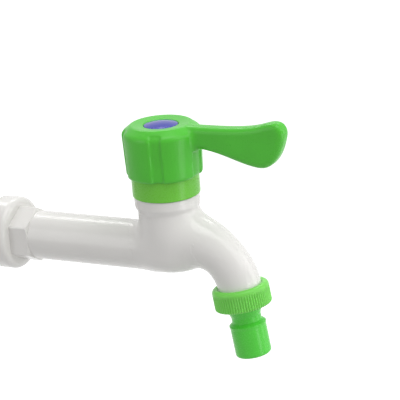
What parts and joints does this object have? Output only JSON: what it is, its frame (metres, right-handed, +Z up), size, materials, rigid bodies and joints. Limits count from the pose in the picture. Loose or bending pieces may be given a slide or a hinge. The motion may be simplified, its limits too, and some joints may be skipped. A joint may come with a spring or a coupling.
{
  "type": "plastic faucet",
  "caption": "White plastic wall faucet with a long threaded inlet arm, a green lever handle on a ceramic disc cartridge, a bent spout and a green quick-connect hose nipple.",
  "frame": {"origin": "on the inlet axis in the wall side of the flange, where the thread spigot starts", "axes": "+X along the inlet axis away from the wall, +Z up along the spindle axis"},
  "size_m": [0.1624, 0.0346, 0.1073],
  "materials": {
    "white_plastic": "glossy moulded",
    "collar_green_plastic": "glossy moulded",
    "cartridge_plastic": "matt moulded",
    "black_rubber": "moulded",
    "fixed_ceramic": "lapped",
    "nut_green_plastic": "glossy moulded",
    "nipple_green_plastic": "glossy moulded",
    "handle_green_plastic": "glossy moulded",
    "spindle_plastic": "matt moulded",
    "moving_ceramic": "lapped",
    "washer_plastic": "matt moulded",
    "spring_steel": "bright",
    "blue_plastic": "glossy moulded"
  },
  "bodies": {
    "faucet_body": {"body": "white_plastic", "bonnet_nut": "collar_green_plastic", "cartridge_housing": "cartridge_plastic", "housing_o_ring": "black_rubber", "seat_seal": "black_rubber", "fixed_disc": "fixed_ceramic", "outlet_nut": "nut_green_plastic", "nipple_washer": "black_rubber", "hose_nipple": "nipple_green_plastic"},
    "handle_body": {"handle": "handle_green_plastic", "spindle": "spindle_plastic", "spindle_o_ring_lower": "black_rubber", "spindle_o_ring_upper": "black_rubber", "moving_disc": "moving_ceramic", "thrust_washer": "washer_plastic", "retaining_ring": "spring_steel", "handle_screw": "spring_steel", "index_cap": "blue_plastic"}
  },
  "joints": [
    {"name": "handle_turn", "type": "hinge", "parent": "faucet_body", "child": "handle_body", "pos_m": [0.088, 0, 0.045], "axis": [0, 0, 1], "range_deg": [0, 90]}
  ]
}
